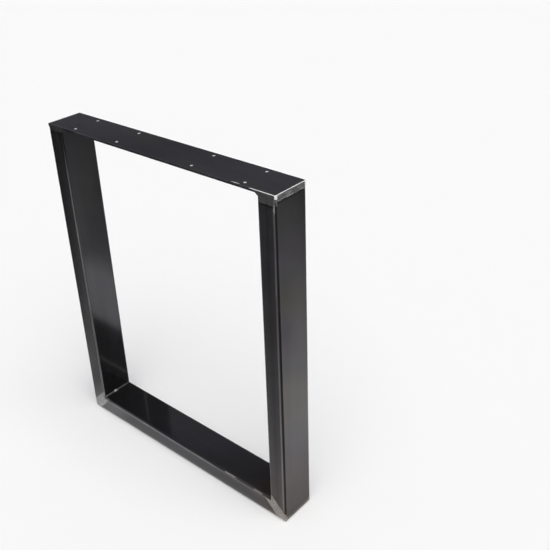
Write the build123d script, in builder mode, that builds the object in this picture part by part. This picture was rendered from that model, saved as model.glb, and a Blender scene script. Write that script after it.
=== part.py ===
from build123d import *
import os

# A welded steel table leg: two uprights and a foot rail of flat hollow section, mitred at the two
# bottom corners, under a drilled flat bar that carries the table top.
# X runs along the frame, Y across it and Z up. The origin is on the floor, under the frame's middle.

# Driving dimensions, in millimetres
frame_width = 600  # along X, over both uprights
frame_height = 720  # floor to the face that the table top lies on
tube_depth = 80  # long side of the hollow section, along Y
tube_width = 40  # short side, in the plane of the frame
tube_wall = 2
tube_inner_radius = 3  # inside corner of the cold-formed section
plate_thickness = 5
plate_corner_radius = 1.5  # upright corners at the plate's two ends
plate_edge_radius = 0.6  # round the rim of the plate's top face
hole_diameter = 5.5
hole_side_inset = 12  # hole centre from the plate's long edge
outer_hole_inset = 75  # hole centre from the plate's end
inner_hole_inset = 200
seam_width = 3  # fused zone of a weld, square to its seam
lower_bead_leg = 2.5  # fillet weld left in each inside corner at the foot
upper_bead_leg = 6  # and under the plate
bead_bulge = 0.4  # how far a bead's face rounds out
ground_corner_radius = 4  # bottom corners, rounded by the grinder

# Places worked out from the driving dimensions
tube_outer_radius = tube_inner_radius + tube_wall
end_x = frame_width / 2
upright_x = end_x - tube_width / 2
inside_x = end_x - tube_width
plate_underside = frame_height - plate_thickness
upright_top = plate_underside - seam_width
bead_length = tube_depth - 2 * tube_outer_radius
hole_y = tube_depth / 2 - hole_side_inset
outer_hole_x = end_x - outer_hole_inset
inner_hole_x = end_x - inner_hole_inset

# Planes of the left mitre: one up the seam, facing the upright, and one on each side of the fused zone
left_seam = Plane(origin=(-end_x, 0, 0), x_dir=(0, 1, 0), z_dir=(-1, 0, 1))
left_upright_cut = left_seam.offset(seam_width / 2)
left_rail_cut = left_seam.offset(-seam_width / 2)

# Planes of the left half's sketches: across each tube's length, and on the frame's own plane in each corner
upright_plane = Plane(origin=(-upright_x, 0, 0), x_dir=(1, 0, 0), z_dir=(0, 0, 1))
rail_plane = Plane(origin=(-end_x, 0, tube_width / 2), x_dir=(0, 0, -1), z_dir=(1, 0, 0))
lower_bead_plane = Plane(origin=(-inside_x, 0, tube_width), x_dir=(1, 0, 0), z_dir=(0, -1, 0))
upper_bead_plane = Plane(origin=(-inside_x, 0, plate_underside), x_dir=(1, 0, 0), z_dir=(0, 1, 0))
ground_corner_plane = Plane(origin=(-end_x, tube_depth / 2, 0), x_dir=(1, 0, 0), z_dir=(0, -1, 0))


def draw_tube_section():
    """The hollow section, with its short side along the sketch's x."""
    RectangleRounded(tube_width, tube_depth, tube_outer_radius)
    draw_tube_bore(Mode.SUBTRACT)


def draw_tube_bore(mode=Mode.ADD):
    """The inside of the hollow section."""
    RectangleRounded(tube_width - 2 * tube_wall, tube_depth - 2 * tube_wall, tube_inner_radius, mode=mode)


def draw_bead(leg):
    """The end of a fillet weld, with its legs along the x and y of a sketch set in the inside corner."""
    with BuildLine() as outline:
        Polyline((0, leg), (0, 0), (leg, 0))
        SagittaArc((leg, 0), (0, leg), bead_bulge)
    make_face(outline.edges())


def draw_corner_waste():
    """What the grinder takes off a sharp bottom corner, in a sketch whose x and y run up its two sides."""
    Rectangle(ground_corner_radius, ground_corner_radius, align=Align.MIN)
    with Locations((ground_corner_radius, ground_corner_radius)):
        Circle(ground_corner_radius, mode=Mode.SUBTRACT)


# Uprights: cut square under the plate and mitred at the floor
with BuildPart() as left_upright:
    with BuildSketch(upright_plane):
        draw_tube_section()
    extrude(amount=upright_top)
    split(bisect_by=left_upright_cut, keep=Keep.TOP)
    with BuildSketch(ground_corner_plane):
        draw_corner_waste()
    extrude(amount=tube_depth, mode=Mode.SUBTRACT)

with BuildPart() as right_upright:
    mirror(left_upright.part, about=Plane.YZ)

# Foot rail: mitred at both ends, lying on the floor
with BuildPart() as foot_rail:
    with BuildSketch(rail_plane):
        draw_tube_section()
    extrude(amount=end_x)
    split(bisect_by=left_rail_cut, keep=Keep.BOTTOM)
    with BuildSketch(ground_corner_plane):
        draw_corner_waste()
    extrude(amount=tube_depth, mode=Mode.SUBTRACT)
    mirror(about=Plane.YZ)

# Flat bar along the top, drilled for the screws that hold the table top
with BuildPart() as top_plate:
    with BuildSketch(Plane.XY.offset(plate_underside)):
        RectangleRounded(frame_width, tube_depth, plate_corner_radius)
    extrude(amount=plate_thickness)
    fillet(top_plate.faces().sort_by(Axis.Z)[-1].edges(), plate_edge_radius)
    with Locations(Plane.XY.offset(frame_height)):
        for column_x in (inner_hole_x, outer_hole_x):
            with GridLocations(2 * column_x, 2 * hole_y, 2, 2):
                Hole(hole_diameter / 2)

# Mitre welds: the fused zone round the seam, ground flush outside, with a bead in the inside corner
with BuildPart() as lower_left_weld:
    with BuildSketch(upright_plane):
        draw_tube_section()
    extrude(amount=upright_top)
    split(bisect_by=left_seam, keep=Keep.TOP)
    split(bisect_by=left_upright_cut, keep=Keep.BOTTOM)
    mirror(about=left_seam)
    with BuildSketch(lower_bead_plane):
        draw_bead(lower_bead_leg)
    extrude(amount=bead_length / 2, both=True)
    with BuildSketch(ground_corner_plane):
        draw_corner_waste()
    extrude(amount=tube_depth, mode=Mode.SUBTRACT)

with BuildPart() as lower_right_weld:
    mirror(lower_left_weld.part, about=Plane.YZ)

# Plate welds: the fused zone widens from the tube's round corners to the plate's square ones
with BuildPart() as upper_left_weld:
    with BuildSketch(upright_plane.offset(upright_top)):
        RectangleRounded(tube_width, tube_depth, tube_outer_radius)
    with BuildSketch(upright_plane.offset(plate_underside)):
        RectangleRounded(tube_width, tube_depth, plate_corner_radius)
    loft(ruled=True)
    with BuildSketch(upright_plane.offset(upright_top)):
        draw_tube_bore()
    extrude(amount=seam_width, mode=Mode.SUBTRACT)
    with BuildSketch(upper_bead_plane):
        draw_bead(upper_bead_leg)
    extrude(amount=bead_length / 2, both=True)

with BuildPart() as upper_right_weld:
    mirror(upper_left_weld.part, about=Plane.YZ)

pieces = {
    "left_upright": left_upright,
    "right_upright": right_upright,
    "foot_rail": foot_rail,
    "top_plate": top_plate,
    "lower_left_weld": lower_left_weld,
    "lower_right_weld": lower_right_weld,
    "upper_left_weld": upper_left_weld,
    "upper_right_weld": upper_right_weld,
}
os.makedirs("parts", exist_ok=True)
for name, piece in pieces.items():
    piece.part.label = name
    export_step(piece.part, f"parts/{name}.step")
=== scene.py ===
import math

import bpy
import numpy as np
from mathutils import Matrix, Vector


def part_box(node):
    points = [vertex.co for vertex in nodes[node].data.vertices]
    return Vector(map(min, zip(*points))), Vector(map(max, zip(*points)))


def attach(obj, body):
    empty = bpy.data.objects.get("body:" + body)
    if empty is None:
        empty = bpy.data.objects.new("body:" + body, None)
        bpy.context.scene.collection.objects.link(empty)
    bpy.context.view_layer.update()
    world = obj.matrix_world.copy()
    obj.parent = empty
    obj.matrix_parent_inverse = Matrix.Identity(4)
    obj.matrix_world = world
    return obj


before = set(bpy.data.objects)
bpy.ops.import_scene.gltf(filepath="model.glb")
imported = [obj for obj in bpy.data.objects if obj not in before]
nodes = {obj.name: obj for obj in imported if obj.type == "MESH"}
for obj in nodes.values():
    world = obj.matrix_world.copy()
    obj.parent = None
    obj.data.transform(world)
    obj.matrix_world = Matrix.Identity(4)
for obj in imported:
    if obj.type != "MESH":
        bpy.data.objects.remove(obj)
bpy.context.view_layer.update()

# Places read from the frame, in metres
plate_low, plate_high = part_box("top_plate")
upright_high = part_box("left_upright")[1]
rail_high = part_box("foot_rail")[1]
end_x = plate_high.x
side_y = plate_high.y
top_z = plate_high.z
plate_underside = plate_low.z
inside_x = -upright_high.x
rail_top = rail_high.z

# The same places in millimetres, for the finishes
mm_per_m = 1000
end = end_x * mm_per_m
side = side_y * mm_per_m
top = top_z * mm_per_m
tube_width = (end_x - inside_x) * mm_per_m
half_tube = tube_width / 2
diagonal = math.sqrt(0.5)

# Screw holes in the plate, in millimetres from its middle
hole_columns = (100, 225)
hole_row = 28
hole_radius = 2.75


class Field:
    """One output socket of a node tree. Arithmetic on fields adds Math nodes to that tree."""

    def __init__(self, tree, socket):
        """Keeps the node tree and the socket."""
        self.tree = tree
        self.socket = socket

    def node(self, kind, settings=None, sockets=None, out=0):
        """Adds a node of any kind: its settings are set first, then its sockets get values or links."""
        made = self.tree.nodes.new(kind)
        for name, value in (settings or {}).items():
            setattr(made, name, value)
        for name, value in (sockets or {}).items():
            if isinstance(value, Field):
                self.tree.links.new(value.socket, made.inputs[name])
            else:
                made.inputs[name].default_value = value
        return Field(self.tree, made.outputs[out])

    def output(self, index):
        """Another output of the same node."""
        return Field(self.tree, self.socket.node.outputs[index])

    def math(self, operation, *values):
        """The result of one Math operation on the values."""
        return self.node("ShaderNodeMath", {"operation": operation}, dict(enumerate(values)))

    def __add__(self, other):
        """The sum of the two."""
        return self.math("ADD", self, other)

    def __sub__(self, other):
        """This less the other."""
        return self.math("SUBTRACT", self, other)

    def __rsub__(self, other):
        """The other less this."""
        return self.math("SUBTRACT", other, self)

    def __mul__(self, other):
        """The product of the two."""
        return self.math("MULTIPLY", self, other)

    def __truediv__(self, other):
        """This divided by the other."""
        return self.math("DIVIDE", self, other)

    def __pow__(self, other):
        """This to the power of the other."""
        return self.math("POWER", self, other)

    def __abs__(self):
        """This without its sign."""
        return self.math("ABSOLUTE", self)

    __radd__ = __add__
    __rmul__ = __mul__


def least(first, second):
    """The smaller of two values."""
    return first.math("MINIMUM", first, second)


def most(first, second):
    """The larger of two values."""
    return first.math("MAXIMUM", first, second)


def rise(value, low, high):
    """A smooth step of a field, from 0 at low to 1 at high."""
    settings = {"interpolation_type": "SMOOTHSTEP"}
    return value.node("ShaderNodeMapRange", settings, {"Value": value, "From Min": low, "From Max": high})


def fall(value, low, high):
    """A smooth step of a field, from 1 at low to 0 at high."""
    return 1 - rise(value, low, high)


def stretch(value, start, stop):
    """1 along a stretch of a field: a smooth step up over its start times a smooth step down over its
    stop."""
    return rise(value, *start) * fall(value, *stop)


def between(factor, first, second):
    """A number that goes from first to second as the factor goes from 0 to 1."""
    return first + (second - first) * factor


mix_factor, mix_first, mix_second, mix_colour = 0, 6, 7, 2


def blended(factor, first, second):
    """A colour that goes from first to second as the factor goes from 0 to 1."""
    sockets = {mix_factor: factor, mix_first: first, mix_second: second}
    return factor.node("ShaderNodeMix", {"data_type": "RGBA"}, sockets, mix_colour)


def scaled(colour, tone):
    """A colour made lighter or darker by a tone about 1."""
    colour = colour if isinstance(colour, Field) else colour[:3]
    return tone.node("ShaderNodeVectorMath", {"operation": "SCALE"}, {0: colour, "Scale": tone})


def grain(place, per_metre, detail=2.0, offset=(0, 0, 0)):
    """Noise about 0, from -1 to 1, with so many features a metre along X, Y and Z."""
    spread = place.node("ShaderNodeMapping", {}, {"Vector": place, "Location": offset, "Scale": per_metre})
    noise = place.node("ShaderNodeTexNoise", {}, {"Vector": spread, "Scale": 1.0, "Detail": detail})
    return noise * 2 - 1


def rolled_grain(place, axis, along, across, detail):
    """Noise drawn out by rolling: so many features a metre along one axis, and so many across it."""
    return grain(place, tuple(along if name == axis else across for name in "XYZ"), detail)


def turned(place, angle):
    """The place turned about X by an angle in degrees, for patterns that run aslant on the ends."""
    return place.node("ShaderNodeMapping", {}, {"Vector": place, "Rotation": (math.radians(angle), 0, 0)})


def millimetres(place):
    """The three Object coordinates of a surface, as fields in millimetres."""
    split = place.node("ShaderNodeSeparateXYZ", {}, {"Vector": place})
    return [split.output(axis) * mm_per_m for axis in range(3)]


def new_material(name):
    """An empty material with its surface shader's inputs and its Object coordinates as a field."""
    material = bpy.data.materials.new(name)
    material.use_nodes = True
    tree = material.node_tree
    shader = tree.nodes["Principled BSDF"]
    place = tree.nodes.new("ShaderNodeTexCoord").outputs["Object"]
    return material, shader.inputs, Field(tree, place)


def feed(socket, value):
    """Links a field to a shader socket."""
    value.tree.links.new(value.socket, socket)


def assign(material, *pieces):
    """Gives every face of the pieces one material."""
    for piece in pieces:
        piece.data.materials.clear()
        piece.data.materials.append(material)


# Steel colours
skin_colour = (0.060, 0.059, 0.065, 1)
plate_skin_colour = (0.060, 0.0575, 0.071, 1)
warm_skin_colour = (0.086, 0.066, 0.062, 1)
olive_skin_colour = (0.080, 0.073, 0.056, 1)
purple_skin_colour = (0.074, 0.060, 0.082, 1)
bare_colour = (0.60, 0.595, 0.59, 1)
warm_bare_colour = (0.64, 0.60, 0.555, 1)
burnt_colour = (0.066, 0.048, 0.030, 1)

# Below, every length in the finishes is in millimetres, and a pair of numbers is where a smooth step
# starts and stops

# Steps between the frame's halves, and onto its flat faces by the distance from their planes
middle_step = (-1, 1)
end_face_step, end_face_border = (1, 3), (1.5, 9)
right_end_step = (end - 3, end - 1)
weld_face_step = (1.5, 3.5)
flat_side_step = (0.5, 1.5)
edge_side_step = (1.0, 2.0)


def right_half(x):
    """1 on the frame's right half and 0 on its left half."""
    return rise(x, *middle_step)


def on_end_face(x, y):
    """How far a place belongs to one of the frame's end faces, away from their rounded edges."""
    return fall(end - abs(x), *end_face_step) * rise(side - abs(y), *end_face_border)


# Ground strips over the mitre seams: half widths from the seam, strengths, and the places that they spare
# or favour
foot_strip, foot_end_strip, strip_blur = 12.5, 6, 1.2
foot_strength_right, foot_strength_left, foot_end_share = 0.47, 0.42, 0.7
strip_wobble, strip_scuffs = 0.7, 0.5
strip_skin = (3, 4.5)
inside_corner_up, inside_corner_in = (tube_width - 5, tube_width - 2), (tube_width - 2, tube_width + 1)
inside_corner_left = 0.5
rounded_corner_in, rounded_corner_deep, rounded_corner_gain = (2, 4), (2, 5), 0.15

# Heat colour beside those strips, past their borders
burnt_wobble = 2
burnt_start, burnt_fade = (-4, 1), (3, 17)


def foot_strip_past(x, y, z, wobble):
    """How far a place lies past the border of the ground strip: its distance from the seam's plane, less
    the strip's half width, which is smaller on the end faces, away from their edges."""
    inward = end - abs(x)
    across = abs((z - inward) * diagonal + wobble)
    return across - between(on_end_face(x, y), foot_strip, foot_end_strip)


def foot_ground(x, y, z, wobble, scuffs):
    """Where the mitre welds were ground: a strip on both sides of each seam's plane, on the outer faces
    only, and a little brighter on the rounded corner between two of them."""
    inward = end - abs(x)
    depth = side - abs(y)
    on_right = right_half(x)
    strip = fall(foot_strip_past(x, y, z, wobble * strip_wobble), -strip_blur, strip_blur)
    inside_corner = rise(z, *inside_corner_up) * rise(inward, *inside_corner_in)
    outer = fall(least(least(inward, depth), z), *strip_skin)
    outer = outer * (1 - inside_corner * between(on_right, inside_corner_left, 1))
    rounded_corner = fall(inward, *rounded_corner_in) * fall(depth, *rounded_corner_deep)
    strength = between(on_right, foot_strength_left, foot_strength_right)
    strength = strength * between(on_end_face(x, y), 1, foot_end_share)
    strength = strength * (1 + rounded_corner * rounded_corner_gain)
    return strip * outer * strength * (1 + scuffs * strip_scuffs)


def burnt_near_foot(x, y, z, wobble):
    """Heat colour beside the ground strips, strongest just past them and fading away from the seam."""
    past = foot_strip_past(x, y, z, wobble * burnt_wobble)
    return stretch(past, burnt_start, burnt_fade)


# Ground bands at the plate's welds, by the distance below its top face: round the ends, with a ridge along
# the lower border, and on the front and back
end_band, end_band_blur, end_strength = 12.5, 1, 0.36
band_scuffs, band_least = 1.1, 0.2
ridge_offset, ridge_span, ridge_gain = 1.3, (0.3, 1.5), 0.2
front_band_right, front_band_left = 20, 13
front_strength_right, front_strength_left = 0.18, 0.11
front_wobble, front_blur = 0.4, 1
weld_reach = (tube_width + 6, tube_width + 12)

# The brightest places of those bands: a column on each upright corner and two streaks running down from it
corner_along, corner_across, corner_left_share = 1.6, 0.75, 0.3
column_span, column_slant, column_wobble, column_low = (3.4, 5.8), 0.18, 0.5, (12, 14)
streak_span, streak_wobble, streak_low, streak_gain = (2.0, 4.0), 2, (16, 23), 0.8
drip_in, drip_down, drip_slant, drip_wobble = 3.2, 26, 0.16, 0.4
drip_span, drip_gain = (1.4, 3.0), 0.55

# Painted shade in the undercut along the lower border of the bands
undercut_shade_offset, undercut_shade_span = 2.2, (0.4, 2.6)
undercut_shade_across, undercut_shade_back_share, undercut_shade_depth = (0, 30), 0.5, 0.9


def plate_weld_reach(x, y):
    """How near a place is to the plate's ground welds: on the end faces, on the long sides, and the band's
    depth."""
    on_end = fall(end - abs(x), *weld_face_step)
    on_side = fall(side - abs(y), *weld_face_step) * fall(end - abs(x), *weld_reach)
    reach = between(right_half(x), front_band_left, front_band_right)
    return on_end, on_side, reach


def top_ground(x, y, z, wobble, scuffs):
    """Where the plate's welds were ground: a band round each end, its upright corners brightest, and a
    fainter one on the front and back."""
    on_end, on_side, reach = plate_weld_reach(x, y)
    on_right = right_half(x)
    inward = end - abs(x)
    depth = side - abs(y)
    down = top - z
    ridge = fall(abs(down + wobble - end_band + ridge_offset), *ridge_span) * ridge_gain
    band = fall(down + wobble, end_band - end_band_blur, end_band + end_band_blur)
    band = band * end_strength * most(1 + scuffs * band_scuffs, band_least)
    corner = inward * corner_along + depth * corner_across
    column = fall(corner + down * column_slant + wobble * column_wobble, *column_span)
    column = column * fall(down + wobble, *column_low)
    streak = fall(corner, *streak_span) * fall(down + wobble * streak_wobble, *streak_low) * streak_gain
    from_drip = abs(inward - drip_in) + depth + abs(down - drip_down) * drip_slant
    drip = fall(from_drip + wobble * drip_wobble, *drip_span) * drip_gain
    corners = most(column, most(streak, drip)) * between(on_right, corner_left_share, 1)
    strength = between(on_right, front_strength_left, front_strength_right)
    front = on_side * fall(down - reach + wobble * front_wobble, -front_blur, front_blur) * strength
    return most(most(on_end * (band + ridge), corners), front)


def top_undercut_shade(x, y, z, wobble):
    """The painted shade in the undercut: a dark line along the lower border of the ground bands, by its
    distance from that border.
    """
    on_end, on_side, reach = plate_weld_reach(x, y)
    down = top - z
    end_line = on_end * fall(abs(down + wobble - end_band - undercut_shade_offset), *undercut_shade_span)
    end_line = end_line * between(fall(y, *undercut_shade_across), undercut_shade_back_share, 1)
    side_line = on_side * fall(abs(down + wobble * front_wobble - reach - undercut_shade_offset), *undercut_shade_span)
    return most(end_line, side_line)


# Painted light and shade on the uprights: how much darker the left one is painted, and its painted lift
# towards the inner edge
left_upright_tone, left_lift = 0.84, 1.05
left_inner, left_outer_share = (-292, -266), 0.1
left_foot, left_upper, left_upper_share = (120, 320), (500, 680), 0.5

# Painted reflections on the right upright's front and back: a darker stripe down the middle, and a lighter
# and a darker patch up its height
stripe_x, stripe_core, stripe_half, stripe_top_half = 280, 1, 8, 4
stripe_depth, stripe_top_lift = 0.26, 0.45
upright_upper = (520, 690)
light_patch_in, light_patch_z, light_patch_span, light_patch_lift = (268, 284), 215, (20, 120), 0.2
dark_patch_z, dark_patch_span, dark_patch_depth = 500, (20, 110), 0.2

# Painted light and shade on the uprights' edges: a painted shade on the rounding at the outer edges, a
# painted highlight line past it on the ends, and a painted dark line where the left upright's inner edges
# start
rounding_deep, rounding_out, rounding_up = (0.5, 2.5), (end - 4, end - 2.2), (40, 300)
rounding_low, rounding_high = 0.05, 0.35
outer_line_out, outer_line_deep, outer_line_up = (end - 2, end - 0.6), (4.2, 6), (60, 260)
outer_line_high, outer_line_low = 0.6, 1.0
inner_line_in, inner_line_span, inner_line_deep, inner_line_depth = 4.6, (0.8, 1.8), (0.3, 1), 0.75

# Darker patches on the right end: the middle along Y and Z, half width, half height and depth of each
right_end_darkenings = ((-22, 446, 22, 30, 0.2), (-30, 455, 46, 130, 0.22))

# Tinted stretches of the right end: the middle and half height of each, and the tints' share elsewhere
purple_stains = ((610, 45), (430, 60), (140, 75))
olive_stains = ((512, 48), (300, 85))
stain_core, stain_drift, stain_elsewhere = 0.2, 45, 0.4


def upright_painted_light(x, y, z):
    """Painted light and shade on the uprights: the left one painted darker, but lighter towards its inner
    edge, a soft painted stripe along the middle of the right one's front and back, narrower and between
    lighter borders at the top, a lighter and a darker painted patch up its height, painted darker and
    lighter lines along the edges, and darker patches on the right end, each a bell about its place."""
    depth = side - abs(y)
    on_side = fall(depth, *flat_side_step)
    on_right = right_half(x)
    near_top = rise(z, *upright_upper)
    stripe_reach = between(near_top, stripe_half, stripe_top_half)
    stripe = fall(abs(x - stripe_x), stripe_core, stripe_reach) * on_side
    light_patch = fall(x, *light_patch_in) * fall(abs(z - light_patch_z), *light_patch_span)
    dark_patch = fall(abs(z - dark_patch_z), *dark_patch_span) * dark_patch_depth
    right_side = light_patch * light_patch_lift + near_top * stripe_top_lift - dark_patch
    left_side = between(rise(x, *left_inner), left_outer_share, 1) * rise(z, *left_foot)
    left_side = left_side * between(fall(z, *left_upper), left_upper_share, 1) * left_lift
    lift = between(on_right, left_side, right_side) * on_side
    rounding = fall(depth, *rounding_deep) * rise(abs(x), *rounding_out)
    rounding = rounding * between(rise(z, *rounding_up), rounding_low, rounding_high)
    darkening = 0
    for darkening_y, darkening_z, darkening_across, darkening_up, darkening_depth in right_end_darkenings:
        from_darkening = ((y - darkening_y) / darkening_across) ** 2 + ((z - darkening_z) / darkening_up) ** 2
        darkening = darkening + fall(from_darkening, 0, 1) * rise(x, *right_end_step) * darkening_depth
    outer_line = rise(abs(x), *outer_line_out) * fall(depth, *outer_line_deep)
    outer_line = outer_line * between(fall(z, *outer_line_up), outer_line_high, outer_line_low)
    inner_line = fall(abs(abs(x) - end + tube_width - inner_line_in), *inner_line_span)
    inner_line = inner_line * fall(depth, *inner_line_deep) * (1 - on_right)
    tone = between(on_right, left_upright_tone, 1) * (1 + lift) * (1 - inner_line * inner_line_depth)
    return tone * (1 - stripe * stripe_depth) * (1 - darkening) * (1 - rounding) * (1 + outer_line)


def upright_stains(x, y, z, drift, purple, olive):
    """The uprights' purple and olive tints: rows of bells that drift up the right end, and fainter
    elsewhere."""
    on_right_end = rise(x, *right_end_step)
    height = z + drift * stain_drift
    on_end = [
        sum(fall(abs(height - middle), half * stain_core, half) for middle, half in stains)
        for stains in (purple_stains, olive_stains)
    ]
    return [
        between(on_right_end, tint * stain_elsewhere, bells) for tint, bells in zip((purple, olive), on_end)
    ]


def rail_stains(x, y, z, drift, purple, olive):
    """The foot rail's purple and olive tints, faint all over."""
    return purple * stain_elsewhere, olive * stain_elsewhere


# Painted light and shade on the plate: darker about its middle, and lighter on its long sides, most of all
# towards the left
plate_middle_span, plate_middle_depth = (20, 150), 0.16
long_side_deep, long_side_start, long_side_left = (0.2, 0.6), (-225, -195), (-170, -130)
long_side_right_lift, long_side_left_lift = 0.5, 1.6


def plate_painted_light(x, y, z):
    """Painted shade and light on the plate: a little darker about its middle, and lighter on its long sides.
    """
    lift = between(fall(x, *long_side_left), long_side_right_lift, long_side_left_lift)
    long_side = fall(side - abs(y), *long_side_deep) * lift * rise(x, *long_side_start)
    return (1 - fall(abs(x), *plate_middle_span) * plate_middle_depth) * (1 + long_side)


# Patterns of the rolled skin: features a metre along the rolling and across it, and levels of detail
chip_pattern = (22, 110, 4)
cloud_pattern = (6, 16, 3)
band_pattern = (0.8, 60, 1)
streak_pattern = (3, 260, 2)
scratch_pattern = (9, 900, 1)

# Other patterns: features a metre along X, Y and Z, levels of detail, and an offset where two would look
# alike
wobble_pattern, wobble_size = ((90, 90, 90), 2), 2.6
fine_wobble_pattern = ((420, 420, 420), 2)
scuff_pattern = ((150, 45, 330), 3)
patch_pattern, patch_share = ((60, 60, 60), 2, (2, 6, 1)), 0.8
speck_pattern = ((420, 420, 420), 1)
grinding_pattern = ((260, 520, 520), 4)
purple_pattern = ((11, 18, 7), 2, (3, 5, 8))
olive_pattern = ((9, 20, 8), 2, (7, 1, 4))
smear_pattern, smear_angle = ((6, 5, 26), 4), 35
spatter_pattern = ((230, 230, 230), 1, (5, 2, 9))

# Where in those patterns a mark starts and is full
chip_step, scratch_step, speck_step, spatter_step = (0.05, 0.4), (0.5, 0.7), (0.55, 0.68), (0.4, 0.55)
purple_step, olive_step = (-0.1, 0.35), (-0.05, 0.4)

# How much each mark changes the skin's tone, colour and height, and the bright share of a painted highlight
# along an edge, plain and where chipped
cloud_tone, band_tone, smear_tone, streak_tone, scratch_tone, speck_tone = 0.2, 0.2, 0.26, 0.07, 0.25, 0.5
spatter_depth, tint_share = 0.6, 0.65
edge_light_share, edge_light_chipped = 0.115, 0.175
band_height, cloud_height, grinding_height = 0.000025, 0.00004, 0.00001

# The warm cast towards the right end, strongest near the floor, the heat colour's share on the left and
# right, and a painted shade on the front and back beside the left ground strip
warm_along, warm_up, warm_high_share = (150, 300), (20, 220), 0.12
burnt_left, burnt_right = 0.16, 0.8
strip_shade_past, strip_shade_left = (10, 45), 0.22

# Ground metal: warmer at the right foot, and whiter where it is almost bare and under the brightest painted
# highlights
warm_ground_up = (40, 90)
grinding_tone, white_step, white_tone, white_loss = 0.45, (0.6, 1), 1.55, 0.3

# Metal and gloss of the skin and of the ground metal, and the lacquer
skin_metal, ground_metal = 0.88, 0.4
skin_roughness, cloud_roughness, streak_roughness = 0.18, 0.05, 0.03
ground_roughness, grinding_roughness = 0.4, 0.15
lacquer, lacquer_roughness = 0.7, 0.07


def steel_material(name, roll_axis, ground, edge, colour=skin_colour, undercut_shade=None, cast=None, stains=None):
    """Dark rolled steel under a thin lacquer: a skin colour with purple, olive, warm and burnt tints, times
    a tone of clouds, lengthwise bands, smears and scratches, a painted shade beside the left ground strip,
    and the painted light and shade of the cast and undercut fields, giving way to bright metal where ground
    says and to painted highlights where edge says, as fields of the place."""
    material, surface, place = new_material(name)
    x, y, z = millimetres(place)
    on_right = right_half(x)
    wobble = grain(place, *wobble_pattern) * wobble_size + grain(place, *fine_wobble_pattern)
    chips = rise(rolled_grain(place, roll_axis, *chip_pattern), *chip_step)
    scuffs = grain(place, *scuff_pattern) + grain(place, *patch_pattern) * patch_share
    # Bright ground metal where the ground field says, and painted highlights along the edges where the edge
    # field says
    bare_and_highlight = most(ground(x, y, z, wobble, scuffs), edge(x, y, z) * between(chips, edge_light_share, edge_light_chipped))
    clouds = rolled_grain(place, roll_axis, *cloud_pattern)
    bands = rolled_grain(place, roll_axis, *band_pattern)
    streaks = rolled_grain(place, roll_axis, *streak_pattern)
    scratches = rise(rolled_grain(place, roll_axis, *scratch_pattern), *scratch_step)
    specks = rise(grain(place, *speck_pattern), *speck_step)
    grinding = grain(place, *grinding_pattern)
    smears = grain(turned(place, smear_angle), *smear_pattern)
    purple = rise(grain(place, *purple_pattern), *purple_step)
    olive = rise(grain(place, *olive_pattern), *olive_step)
    if stains:
        purple, olive = stains(x, y, z, clouds, purple, olive)
    warmth = rise(x, *warm_along) * between(fall(z, *warm_up), warm_high_share, 1)
    burnt = burnt_near_foot(x, y, z, wobble)
    skin = blended(purple * tint_share, colour, purple_skin_colour)
    skin = blended(olive * tint_share, skin, olive_skin_colour)
    skin = blended(warmth, skin, warm_skin_colour)
    skin = blended(burnt * between(on_right, burnt_left, burnt_right), skin, burnt_colour)
    spatter = rise(grain(place, *spatter_pattern), *spatter_step) * burnt * on_right
    # A painted shade on the front and back beside the left ground strip
    strip_shade = fall(foot_strip_past(x, y, z, wobble), *strip_shade_past) * fall(side - abs(y), *flat_side_step)
    tone = 1 + clouds * cloud_tone + bands * band_tone + smears * smear_tone + streaks * streak_tone
    tone = tone + scratches * scratch_tone + specks * speck_tone
    tone = tone * (1 - spatter * spatter_depth) * (1 - strip_shade * between(on_right, strip_shade_left, 0))
    if cast:
        tone = tone * cast(x, y, z)
    # Painted shade in the undercut below the ground bands
    if undercut_shade:
        tone = tone * (1 - undercut_shade(x, y, z, wobble) * undercut_shade_depth)
    white = rise(bare_and_highlight, *white_step)
    bright = blended(on_right * fall(z, *warm_ground_up), bare_colour, warm_bare_colour)
    bright = scaled(bright, (1 + grinding * grinding_tone) * between(white, 1, white_tone))
    rolled_roughness = skin_roughness + clouds * cloud_roughness + streaks * streak_roughness
    ground_and_highlight_roughness = ground_roughness + grinding * grinding_roughness
    feed(surface["Base Color"], blended(bare_and_highlight, scaled(skin, tone), bright))
    feed(surface["Metallic"], between(bare_and_highlight, skin_metal, ground_metal) - white * white_loss)
    feed(surface["Roughness"], between(bare_and_highlight, rolled_roughness, ground_and_highlight_roughness))
    surface["Coat Weight"].default_value = lacquer
    surface["Coat Roughness"].default_value = lacquer_roughness
    height = bands * band_height + clouds * cloud_height + grinding * bare_and_highlight * grinding_height
    feed(surface["Normal"], place.node("ShaderNodeBump", {}, {"Height": height, "Distance": 1.0}))
    return material


# A painted highlight along the line where a tube's rounded edge starts, by the distance from its face, and
# its strength among the other painted edge highlights
edge_start = 5.2
upright_line_span, upright_line_up, upright_line_left = (0.6, 2.2), (150, 600), 0.2
upright_line_low, upright_line_top = 2.4, 1.3
rail_line_span, rail_line_along, rail_line_start = (0.8, 2.8), (60, 140), (-220, -120)
rail_line_left, rail_line_right, rail_line_faint = 2.5, 1.7, 0.5

# Painted highlights on the uprights' inner edges, by the summed distance from the two faces that meet there
inner_edge_span, inner_edge_up, inner_edge_gain = (3.2, 4.6), (600, 690), 1.6
inner_half = (end - half_tube - 2, end - half_tube + 2)

# Painted highlights on the top edge of the foot rail's front: two bright stretches, the faint rest between
# them and at the left; and a lighter bottom beside the right mitre
glint_up_start, glint_up_stop = (tube_width - 3.4, tube_width - 2.4), (tube_width - 1.2, tube_width - 0.5)
first_glint, second_glint = ((130, 138), (158, 172)), ((212, 218), (234, 242))
glint_reach, glint_faint, glint_bright = ((124, 134), (246, 254)), 0.9, 4.5
left_glint_along, left_glint_gain = (-230, -20), 1.3
bottom_line_up, bottom_line_along, bottom_line_gain = (3.0, 5.5), (232, 262), 3

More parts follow.
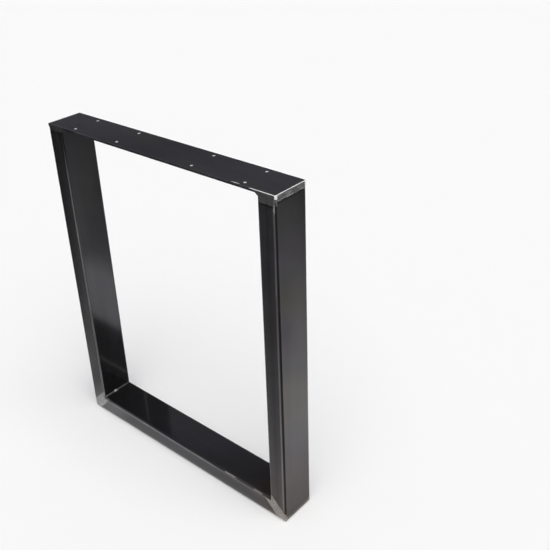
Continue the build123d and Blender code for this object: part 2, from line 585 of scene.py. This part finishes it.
# The plate's rim, its painted highlight at the right end, its holes' walls and a chipped place by one hole
rim_span, rim_gain = (0.8, 1.6), 0.6
bright_rim_span, bright_rim_start, bright_rim_wobble = (0.6, 1.2), (243, 249), 2
hole_wall, hole_gain = (hole_radius + 0.02, hole_radius + 0.15), 0.93
chip_x, chip_y, chip_slant, chip_wobble, chip_span, chip_gain = 212, -37.5, 0.22, 0.9, (1.0, 2.4), 0.9


def upright_edge(x, y, z):
    """Painted highlights on the uprights' edges: a faint line where the outer ones start on the front and
    back, and the inner rounded ones, by the summed distance from the two faces that meet there."""
    on_side = fall(side - abs(y), *edge_side_step)
    line = fall(abs(end - abs(x) - edge_start), *upright_line_span) * on_side
    line = line * between(right_half(x), upright_line_left, 1)
    line = line * between(rise(z, *upright_line_up), upright_line_low, upright_line_top)
    from_faces = half_tube - abs(abs(x) - (end - half_tube)) + side - abs(y)
    inner = fall(abs(x), *inner_half) * fall(z, *inner_edge_up)
    return most(line, fall(from_faces, *inner_edge_span) * inner * inner_edge_gain)


def rail_edge(x, y, z):
    """Painted highlights on the foot rail's edges: a faint line where the top ones start on the front and
    back, a line on the front's top edge, strongest on two stretches and faint at the left; and a lighter
    bottom at the right."""
    on_side = fall(side - abs(y), *edge_side_step)
    on_front = fall(y, *middle_step)
    line = fall(abs(z - tube_width + edge_start), *rail_line_span) * on_side
    line = line * between(rise(x, *rail_line_along), rail_line_left, rail_line_right)
    line = line * between(rise(x, *rail_line_start), rail_line_faint, 1)
    glints = most(stretch(x, *first_glint), stretch(x, *second_glint))
    glint = between(glints, glint_faint, glint_bright) * stretch(x, *glint_reach) * on_front
    glint = most(glint, fall(x, *left_glint_along) * on_front * left_glint_gain)
    glint = stretch(z, glint_up_start, glint_up_stop) * glint
    bottom_line = fall(z, *bottom_line_up) * rise(x, *bottom_line_along) * bottom_line_gain
    return most(most(line, bottom_line), glint)


def from_plate_rim(x, y, z):
    """The summed distance from the plate's top face and from the nearer of its side and end faces."""
    return top - z + least(side - abs(y), end - abs(x))


def plate_edge(x, y, z):
    """The rim of the plate's top face."""
    return fall(from_plate_rim(x, y, z), *rim_span) * rim_gain


def no_edge(x, y, z):
    """No edge highlight of its own: nought everywhere."""
    return x * 0


def plate_ground(x, y, z, wobble, scuffs):
    """The plate's bright places: its welded ends, the walls of its holes, by the distance from the nearest
    hole's axis, a painted highlight on its rim at the right end and a chipped place by one hole."""
    column_middle = (hole_columns[0] + hole_columns[1]) / 2
    column_half = (hole_columns[1] - hole_columns[0]) / 2
    from_column = abs(abs(abs(x) - column_middle) - column_half)
    from_row = abs(abs(y) - hole_row)
    from_hole = (from_column * from_column + from_row * from_row) ** 0.5
    hole = fall(from_hole, *hole_wall) * hole_gain
    rim = fall(from_plate_rim(x, y, z), *bright_rim_span)
    rim = rim * rise(x + wobble * bright_rim_wobble, *bright_rim_start)
    from_chip = abs(x - chip_x) * chip_slant + abs(y - chip_y)
    chip = fall(from_chip + wobble * chip_wobble, *chip_span) * chip_gain
    return most(most(top_ground(x, y, z, wobble, scuffs), hole), most(rim, chip))


def upright_ground(x, y, z, wobble, scuffs):
    """The bright places of an upright: round its mitre and under the plate."""
    return most(foot_ground(x, y, z, wobble, scuffs), top_ground(x, y, z, wobble, scuffs))


upright_steel = steel_material("upright_steel", "Z", upright_ground, upright_edge, undercut_shade=top_undercut_shade,
                               cast=upright_painted_light, stains=upright_stains)
rail_steel = steel_material("rail_steel", "X", foot_ground, rail_edge, stains=rail_stains)
plate_steel = steel_material("plate_steel", "X", plate_ground, plate_edge, plate_skin_colour,
                             cast=plate_painted_light)
foot_weld_steel = steel_material("foot_weld", "Y", foot_ground, no_edge)
plate_weld_steel = steel_material("plate_weld", "Y", top_ground, no_edge)
assign(upright_steel, nodes["left_upright"], nodes["right_upright"])
assign(rail_steel, nodes["foot_rail"])
assign(plate_steel, nodes["top_plate"])
assign(foot_weld_steel, nodes["lower_left_weld"], nodes["lower_right_weld"])
assign(plate_weld_steel, nodes["upper_left_weld"], nodes["upper_right_weld"])

# Weld beads: steps of the grid along and round a bead, and the sizes of its ripples, in metres
bead_steps, bead_face_steps, bead_back_steps = 240, 18, 8
bead_rise, bead_roundness = 0.0006, 0.6
ripple_height, ripple_bow, ripple_sharpness = 0.00022, 0.9, 0.7
swell_share, swell_lengths = 0.06, (0.0135, 0.0093)

# Leg, half length, bluntness of the ends and ripple pitch of the beads at the foot and under the plate
lower_bead = (0.0029, 0.0358, 8, 0.0020)
upper_bead = (0.0066, 0.0396, 30, 0.0030)

# A lump in a bead: its middle along Y, half length and share of the leg
no_lump = (0.0, 0.004, 0.0)
start_lump = (-0.006, 0.0026, 0.35)


def closed_tube(points, first_pole, last_pole):
    """A mesh of rings of points, one ring a step, each joined to the next, with a fan to a pole at both
    ends. The faces are turned over if the volume that they close comes out negative."""
    steps, around = points.shape[:2]
    corners = np.concatenate([points.reshape(-1, 3), [first_pole, last_pole]])
    ring = np.arange(steps * around).reshape(steps, around)
    onward = np.roll(ring, -1, axis=1)
    quads = np.stack([ring[:-1], onward[:-1], onward[1:], ring[1:]], axis=-1).reshape(-1, 4)
    fan = np.full(around, steps * around)
    first_cap = np.stack([fan, onward[0], ring[0]], axis=1)
    last_cap = np.stack([fan + 1, ring[-1], onward[-1]], axis=1)
    caps = np.concatenate([first_cap, last_cap])
    triangles = np.concatenate([quads[:, :3], quads[:, [0, 2, 3]], caps])
    a, b, c = (corners[triangles[:, i]] for i in range(3))
    if np.einsum("ij,ij->", a, np.cross(b, c)) < 0:
        quads, caps = quads[:, ::-1], caps[:, ::-1]
    return corners, quads.tolist() + caps.tolist()


def weld_bead(name, corner_x, corner_z, toward_x, toward_z, leg, half_length, bluntness, pitch, lump):
    """A fillet weld in an inside corner, carried along Y. Its section's face runs from one toe to the
    other, bulged by a parabola with crescent ripples on it, |sin| of the way along plus a bow across;
    behind, a curve goes back through the corner. The legs swell by two slow sines and a bell-shaped lump,
    and shrink to a point at the ends."""
    along = np.linspace(-1, 1, bead_steps + 2)[1:-1, None]
    y = along * half_length
    taper = (1 - np.abs(along) ** bluntness) ** 0.5
    lump_y, lump_half, lump_share = lump
    bell = lump_share * np.exp(-(((y - lump_y) / lump_half) ** 2))
    waves = [np.sin(2 * np.pi * (y / length + corner_x + corner_z)) for length in swell_lengths]
    leg_x = leg * (1 + swell_share * waves[0] + bell)
    leg_z = leg * (1 + swell_share * waves[1] + bell)
    share = np.linspace(0, 1, bead_face_steps)[None, :]
    arch = 4 * share * (1 - share)
    ripple = ripple_height * np.abs(np.sin(np.pi * (y / pitch + ripple_bow * arch))) ** ripple_sharpness
    outward = (bead_rise + ripple) * arch ** bead_roundness * diagonal
    back = np.linspace(0, 1, bead_back_steps + 2)[None, 1:-1]
    behind = 2 * back * (1 - back) * leg
    face_x = leg_x * share + outward
    face_z = leg_z * (1 - share) + outward
    back_x = leg_x * (1 - back) ** 2 - behind
    back_z = leg_z * back ** 2 - behind
    across_x = np.concatenate([face_x, back_x], axis=1) * taper
    across_z = np.concatenate([face_z, back_z], axis=1) * taper
    bead_x = corner_x + toward_x * across_x
    bead_z = corner_z + toward_z * across_z
    points = np.stack([bead_x, np.broadcast_to(y, bead_x.shape), bead_z], axis=-1)
    poles = [(corner_x, end_y, corner_z) for end_y in (-half_length, half_length)]
    corners, faces = closed_tube(points, *poles)
    mesh = bpy.data.meshes.new(name)
    mesh.from_pydata(corners.tolist(), [], faces)
    mesh.shade_smooth()
    piece = bpy.data.objects.new(name, mesh)
    bpy.context.scene.collection.objects.link(piece)
    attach(piece, "root")
    return piece


beads = [
    weld_bead("lower_left_bead", -inside_x, rail_top, 1, 1, *lower_bead, start_lump),
    weld_bead("lower_right_bead", inside_x, rail_top, -1, 1, *lower_bead, no_lump),
    weld_bead("upper_left_bead", -inside_x, plate_underside, 1, -1, *upper_bead, no_lump),
    weld_bead("upper_right_bead", inside_x, plate_underside, -1, -1, *upper_bead, no_lump),
]

# Bead finish: grey as-welded metal with straw and blue heat tints, a painted glint on the lump where the
# weld began, and a painted shade on the bead under the plate's left end
bead_colour = (0.092, 0.091, 0.094, 1)
straw_colour = (0.13, 0.10, 0.065, 1)
blue_colour = (0.065, 0.075, 0.105, 1)
straw_pattern, straw_step, straw_share = ((90, 60, 90), 2), (0.0, 0.5), 0.7
blue_pattern, blue_step, blue_share = ((70, 45, 70), 2, (4, 7, 2)), (0.1, 0.5), 0.8
bead_tone_pattern, bead_tone_share = ((500, 700, 500), 3), 0.5
bead_gloss_pattern, bead_gloss_share, bead_roughness = ((300, 300, 300), 2), 0.12, 0.34
lump_middle, lump_up_share, lump_span, lump_glint_share = start_lump[0] * mm_per_m, 0.05, (4, 9), 0.55
bead_shade_up, bead_shade_depth = (600, 700), 0.6
bead_lacquer_roughness = 0.1


def bead_material(name):
    """As-welded metal: a grey with patches of straw and blue, times a grainy tone, with a painted shade
    under the plate's left end and a painted glint within a distance of the lump where the weld began."""
    material, surface, place = new_material(name)
    x, y, z = millimetres(place)
    straw = rise(grain(place, *straw_pattern), *straw_step)
    blue = rise(grain(place, *blue_pattern), *blue_step)
    tint = blended(blue * blue_share, blended(straw * straw_share, bead_colour, straw_colour), blue_colour)
    lump = fall(abs(y - lump_middle) + most(x, 0) + z * lump_up_share, *lump_span)
    shade = rise(z, *bead_shade_up) * fall(x, *middle_step) * bead_shade_depth
    tone = (1 + grain(place, *bead_tone_pattern) * bead_tone_share) * (1 - shade)
    feed(surface["Base Color"], blended(lump * lump_glint_share, scaled(tint, tone), bare_colour))
    feed(surface["Roughness"], bead_roughness + grain(place, *bead_gloss_pattern) * bead_gloss_share)
    surface["Metallic"].default_value = 1.0
    surface["Coat Weight"].default_value = lacquer
    surface["Coat Roughness"].default_value = bead_lacquer_roughness
    return material


assign(bead_material("bead_steel"), *beads)


def stage_faces(name, quads):
    """Flat faces of the stage, from an array of four corners each."""
    corners = np.asarray(quads, float).reshape(-1, 3)
    mesh = bpy.data.meshes.new(name)
    mesh.from_pydata(corners.tolist(), [], np.arange(len(corners)).reshape(-1, 4).tolist())
    piece = bpy.data.objects.new(name, mesh)
    bpy.context.scene.collection.objects.link(piece)
    return piece


def level_square(span, height):
    """The four corners of a level square about the origin: half the span to each side, at the height."""
    half = span / 2
    return [(across * half, ahead * half, height) for across, ahead in ((-1, -1), (1, -1), (1, 1), (-1, 1))]


def ring_wall(radius, low, high, steps):
    """The faces of an upright wall: a circle of the given radius carried from the low to the high level."""
    angle = np.linspace(0, 2 * np.pi, steps + 1)
    circle = np.stack([np.cos(angle), np.sin(angle)], axis=1) * radius
    lower, upper = (np.column_stack([circle, np.full(steps + 1, level)]) for level in (low, high))
    return np.stack([lower[1:], lower[:-1], upper[:-1], upper[1:]], axis=1)


def seen_in_reflections_only(piece):
    """Hides a painted reflection sheet from the camera, from diffuse and transmission rays and from shadows,
    so that only the steel's reflections show it.
    """
    piece.visible_camera = False
    piece.visible_diffuse = False
    piece.visible_transmission = False
    piece.visible_shadow = False


matt_roughness = 0.9


def plain_paint(name, colour):
    """A matt paint with no gloss."""
    paint, surface, place = new_material(name)
    surface["Base Color"].default_value = colour
    surface["Roughness"].default_value = matt_roughness
    surface["Specular IOR Level"].default_value = 0.0
    return paint, surface, place


black = (0, 0, 0, 1)

# White floor
floor_span, floor_drop = 40.0, 0.0002
floor_white = (0.93, 0.93, 0.93, 1)
floor = stage_faces("floor", level_square(floor_span, -floor_drop))
assign(plain_paint("white_floor", floor_white)[0], floor)

# White backdrop round the floor, as bright in the steel as behind it
backdrop_radius, backdrop_height, backdrop_steps, backdrop_glow = 18.0, 3.2, 96, 0.96
is_camera, is_glossy, is_transmission = 0, 3, 6
backdrop = stage_faces("backdrop", ring_wall(backdrop_radius, -floor_drop, backdrop_height, backdrop_steps))
backdrop_paint, backdrop_surface, backdrop_place = plain_paint("white_backdrop", black)
seen = backdrop_place.node("ShaderNodeLightPath")
seen = most(most(seen.output(is_camera), seen.output(is_glossy)), seen.output(is_transmission))
feed(backdrop_surface["Emission Color"], seen)
backdrop_surface["Emission Strength"].default_value = backdrop_glow
assign(backdrop_paint, backdrop)
backdrop.visible_diffuse = False
backdrop.visible_shadow = False

# Painted reflection: a dark sheet just over the floor, seen only in the steel's reflections, which lets the
# painted light of the lit floor through: its level in metres, and its depth of shade
surround_height, surround_depth = 0.0004, 0.955

# Lengths on the lit floor are in millimetres: the painted pool of light round the frame, wider behind its
# right end, and the far floor
pool_reach, pool_right_reach, pool_falloff = 280, 790, 1.7
right_pool_aslant, right_pool_along, right_pool_back = (-60, 150), (250, 600), (0, 250)
far_away, far_level = (2300, 4500), 0.3

# Painted shades in front of the frame: at the right, at the left, and a small one ahead of the left upright
shade_start, front_shade_out = (0, 10), (150, 1000)
front_right_shades = (((-270, -180), 0.4), ((-100, 300), 0.05))
front_left_shades = (((-380, -300), 0.41), ((-1400, -600), 0.17))
left_spot_x, left_spot_span, left_spot_out, left_spot_depth = -345, (40, 130), (70, 150), 0.17

# The painted beam ahead of the right end, and the painted shade beside it. Both widen with the distance from
# the frame.
beam_near, beam_far, beam_far_level = (0, 900), (1250, 1700), 0.6
beam_slope, beam_edge, beam_blunt = 0.62, (-0.35, 0.1), 20
side_front_slope, side_back_slope, side_edge, side_depth = 0.8, -1.6, (-0.15, 0.5), 0.85
right_shade_start, right_shade_stop, right_shade_back = (-10, 0), (-30, 190), (160, 320)
right_shade_depth = 0.55

# A dark patch of painted shadow close behind the frame, with a thin lighter line along it, and a lit gap
# past the patch
dark_back, dark_along, dark_depth = ((42, 48), (198, 216)), ((-330, -300), (90, 220)), 0.96
dark_line_y, dark_line_span, dark_line_level = 92, (2, 6), 0.3
gap_back, gap_along = ((205, 225), (360, 540)), ((-140, 20), (330, 560))

# Wide painted pools of light that the back and the left end reflect, between lines on the floor, each by its
# start along X and its slope
wide_reach, wide_level, wide_left_level = 1400, 0.5, 0.42
back_lines, back_edge, back_start = ((-260, 0.75), (290, 1.3)), (60, 220), (60, 160)
far_right_line, far_right_edge, far_right_start = (310, 1.15), (40, 160), (300, 700)
left_near_line, left_far_line, left_edge = (-280, 0.66), (280, 1.13), (60, 200)
left_reach = ((100, 200), (850, 1080))


def along_line(x, line):
    """Where a line on the floor lies along Y at the place x: the way from its start along X, times its
    slope."""
    start, slope = line
    return (x - start) * slope


def light_pool(away, reach):
    """A pool of light that fades with the distance: 1 over 1 plus the distance's power, in units of its
    reach."""
    return (1 + (away / reach) ** pool_falloff) ** -1


def lit_floor(x, y):
    """The painted reflection of the floor in the steel, as how much of the floor's light the dark sheet lets
    through: the largest of a pool round the frame, a beam ahead of the right end, a gap behind and the far
    floor, less the painted shades, and the wide pools for the back and the left end."""
    outside_x = most(abs(x) - end, 0)
    outside_y = most(abs(y) - side, 0)
    away = (outside_x * outside_x + outside_y * outside_y) ** 0.5
    ahead = -side - y
    past_end = x - end
    right_pool = rise(x - y, *right_pool_aslant) * rise(x, *right_pool_along) * rise(y, *right_pool_back)
    pool = light_pool(away, between(right_pool, pool_reach, pool_right_reach))
    front_right = sum(rise(x, *span) * depth for span, depth in front_right_shades)
    front_left = sum(fall(x, *span) * depth for span, depth in front_left_shades)
    left_spot = fall(abs(x - left_spot_x), *left_spot_span) * fall(ahead, *left_spot_out) * left_spot_depth
    front_shade = fall(ahead, *front_shade_out) * front_right + (front_left + left_spot)
    pool = pool * (1 - front_shade * rise(ahead, *shade_start))
    beam = fall((abs(past_end) - ahead * beam_slope) / (away + beam_blunt), *beam_edge)
    beam = beam * (between(fall(ahead, *beam_near), beam_far_level, 1) * fall(ahead, *beam_far))
    side_border = most(ahead * side_front_slope, ahead * side_back_slope)
    side_shade = rise((past_end - side_border) / (away + beam_blunt), *side_edge)
    gap = stretch(y, *gap_back) * stretch(x, *gap_along)
    dark = stretch(y, *dark_back) * stretch(x, *dark_along)
    dark_line = fall(abs(y - dark_line_y), *dark_line_span) * dark_line_level
    right_shade = stretch(past_end, right_shade_start, right_shade_stop) * fall(y, *right_shade_back)
    far_floor = rise(away, *far_away) * far_level
    lit = most(most(pool * (1 - side_shade * side_depth), beam), most(gap, far_floor))
    lit = lit * (1 - dark * (dark_depth - dark_line)) * (1 - right_shade * right_shade_depth)
    back_border = most(*(along_line(x, line) for line in back_lines))
    back_floor = rise(y - back_border, *back_edge) * rise(y, *back_start)
    far_right = rise(along_line(x, far_right_line) - y, *far_right_edge) * rise(y, *far_right_start)
    left_floor = rise(along_line(x, left_near_line) - side - y, *left_edge)
    left_floor = left_floor * rise(y + side - along_line(x, left_far_line), *left_edge)
    left_floor = left_floor * stretch(ahead, *left_reach)
    wide = most(most(back_floor, far_right) * wide_level, left_floor * wide_left_level)
    return most(lit, wide * light_pool(away, wide_reach))


surround = stage_faces("dark_surround", level_square(floor_span, surround_height))
surround_paint, surround_surface, surround_place = plain_paint("painted_reflection_sheet", black)
lit = lit_floor(*millimetres(surround_place)[:2])
feed(surround_surface["Alpha"], (1 - lit) * surround_depth)
assign(surround_paint, surround)
seen_in_reflections_only(surround)

# Painted reflection: dark cards standing behind the left upright, seen only in reflections, which the top of
# the foot rail reflects
flag_x, flag_foot, flag_top = -0.28, 0.001, 0.7
flag_spans = ((0.042, 0.093), (0.099, 0.166))
flag_colour = (0.06, 0.06, 0.064, 1)
flags = stage_faces("painted_reflection_cards", [
    [(flag_x, near, flag_foot), (flag_x, far, flag_foot), (flag_x, far, flag_top), (flag_x, near, flag_top)]
    for near, far in flag_spans
])
assign(plain_paint("painted_reflection_card", flag_colour)[0], flags)
seen_in_reflections_only(flags)

# Overhead softbox, as a wide soft sun
softbox_energy, softbox_colour = 2.45, (1.0, 0.995, 0.96)
softbox_spread, softbox_back, softbox_right = math.radians(60), math.radians(15), math.radians(22)
lamp = bpy.data.lights.new("overhead_softbox", "SUN")
lamp.energy = softbox_energy
lamp.color = softbox_colour
lamp.angle = softbox_spread
softbox = bpy.data.objects.new("overhead_softbox", lamp)
softbox.rotation_euler = (softbox_back, softbox_right, 0)
bpy.context.scene.collection.objects.link(softbox)

# Dim room: a glow low down, and steps of brightness by the height of the direction looked in
room_colour, room_base = (0.98, 0.975, 1.07), 0.074
low_glow, low_glow_span = 0.5, (0.16, 0.29)
room_steps = ((0.09, (0.35, 0.39)), (0.055, (0.5, 0.6)), (-0.16, (0.65, 0.69)), (0.65, (0.72, 0.92)))
room = bpy.data.worlds.new("dim_room")
room.use_nodes = True
room_tree = room.node_tree
room_up = Field(room_tree, room_tree.nodes.new("ShaderNodeTexCoord").outputs["Generated"])
room_up = room_up.node("ShaderNodeSeparateXYZ", {}, {"Vector": room_up}).output(2)
room_light = room_base + low_glow * fall(room_up, *low_glow_span)
room_light = room_light + sum(step * rise(room_up, *span) for step, span in room_steps)
feed(room_tree.nodes["Background"].inputs["Color"], scaled(room_colour, room_light))
bpy.context.scene.world = room

# Camera at the photograph's viewing angle
camera_place = Vector((1.0645, -0.9251, 1.2536))
camera_aim = Vector((0.2259, 0.0, 0.5729))
camera_roll = math.radians(-2.551)
sensor_width, focal_length = 36, 52.99
frame_shift_x, frame_shift_y = 0.0272, -0.0375
camera_lens = bpy.data.cameras.new("photo_camera")
camera_lens.sensor_width = sensor_width
camera_lens.lens = focal_length
camera_lens.shift_x = frame_shift_x
camera_lens.shift_y = frame_shift_y
camera = bpy.data.objects.new("photo_camera", camera_lens)
aimed = (camera_aim - camera_place).to_track_quat("-Z", "Y").to_matrix().to_4x4()
camera.matrix_world = Matrix.Translation(camera_place) @ aimed @ Matrix.Rotation(camera_roll, 4, "Z")
bpy.context.scene.collection.objects.link(camera)
bpy.context.scene.camera = camera
bpy.context.scene.view_settings.view_transform = "Standard"
